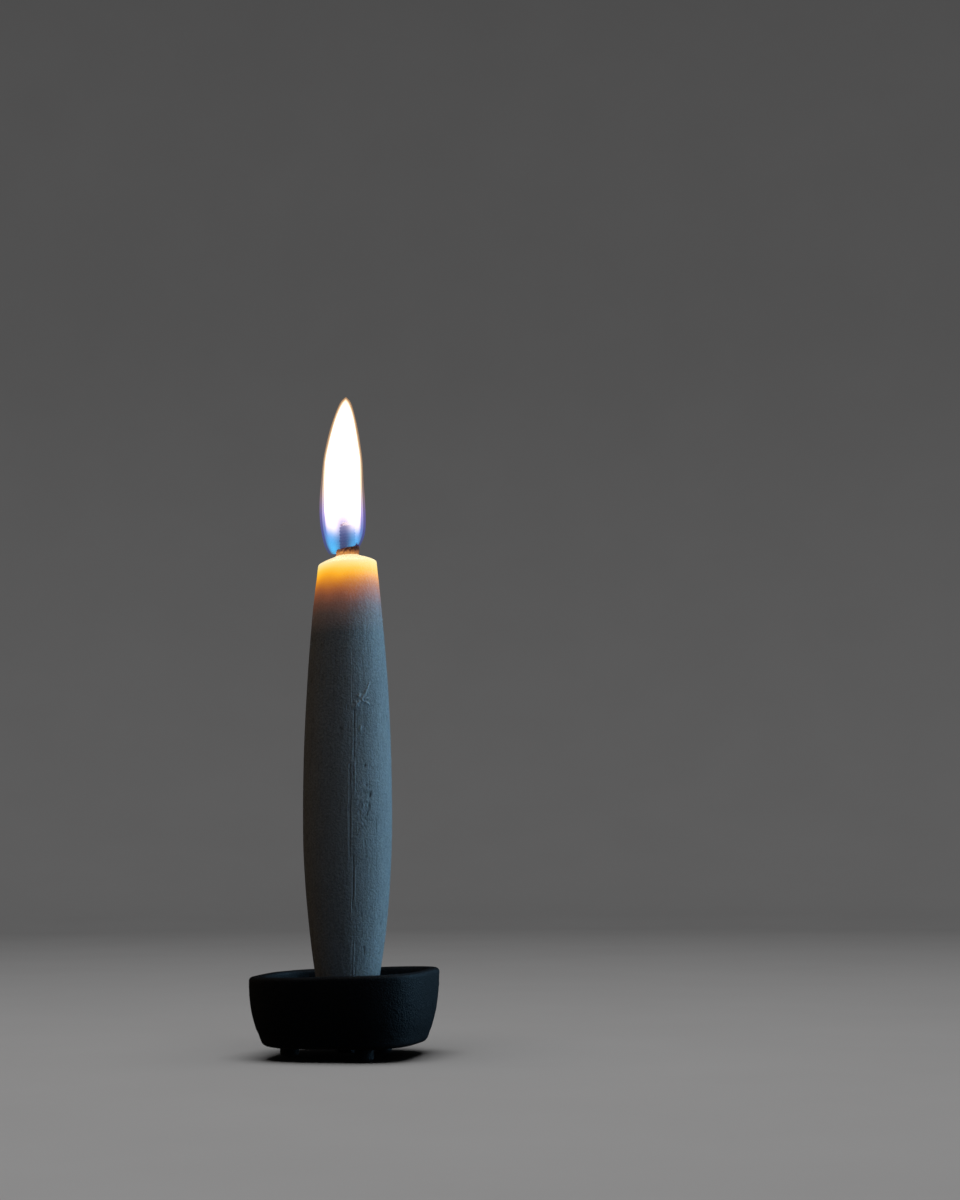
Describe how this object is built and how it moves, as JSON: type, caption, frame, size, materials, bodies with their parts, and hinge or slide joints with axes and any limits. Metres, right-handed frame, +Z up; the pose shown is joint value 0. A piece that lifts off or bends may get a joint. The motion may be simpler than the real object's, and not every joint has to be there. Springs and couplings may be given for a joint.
{
  "type": "pillar candle holder",
  "caption": "Small cast-iron spike dish on low feet, holding a lit barrel-shaped wax candle with a wound hollow wick that lifts straight off.",
  "frame": {"origin": "on the table, under the middle of the dish", "axes": "+Z up along the candle, +X towards the higher side of the rim, dish sides facing X and Y"},
  "size_m": [0.0438, 0.0438, 0.1641],
  "materials": {
    "cast_iron": "black, fine sand-cast grain, satin",
    "spike_steel": "plain turned",
    "wax": "off-white vegetable wax, matte with fine streaks",
    "wick_paper": "rolled paper",
    "charred_rush": "wound rush pith, charred",
    "char": "burnt crust",
    "fire": "glowing gas"
  },
  "bodies": {
    "dish": {"dish": "cast_iron", "foot_left": "cast_iron", "foot_front": "cast_iron", "foot_back": "cast_iron", "spike": "spike_steel", "spike_nut": "spike_steel"},
    "candle": {"candle_wax": "wax", "wick_tube": "wick_paper", "wick_winding": "charred_rush", "wick_char": "char", "flame": "fire"}
  },
  "joints": [
    {"name": "candle_lift", "type": "slide", "parent": "dish", "child": "candle", "axis": [0, 0, 1], "range_m": [0, 0.03]}
  ]
}
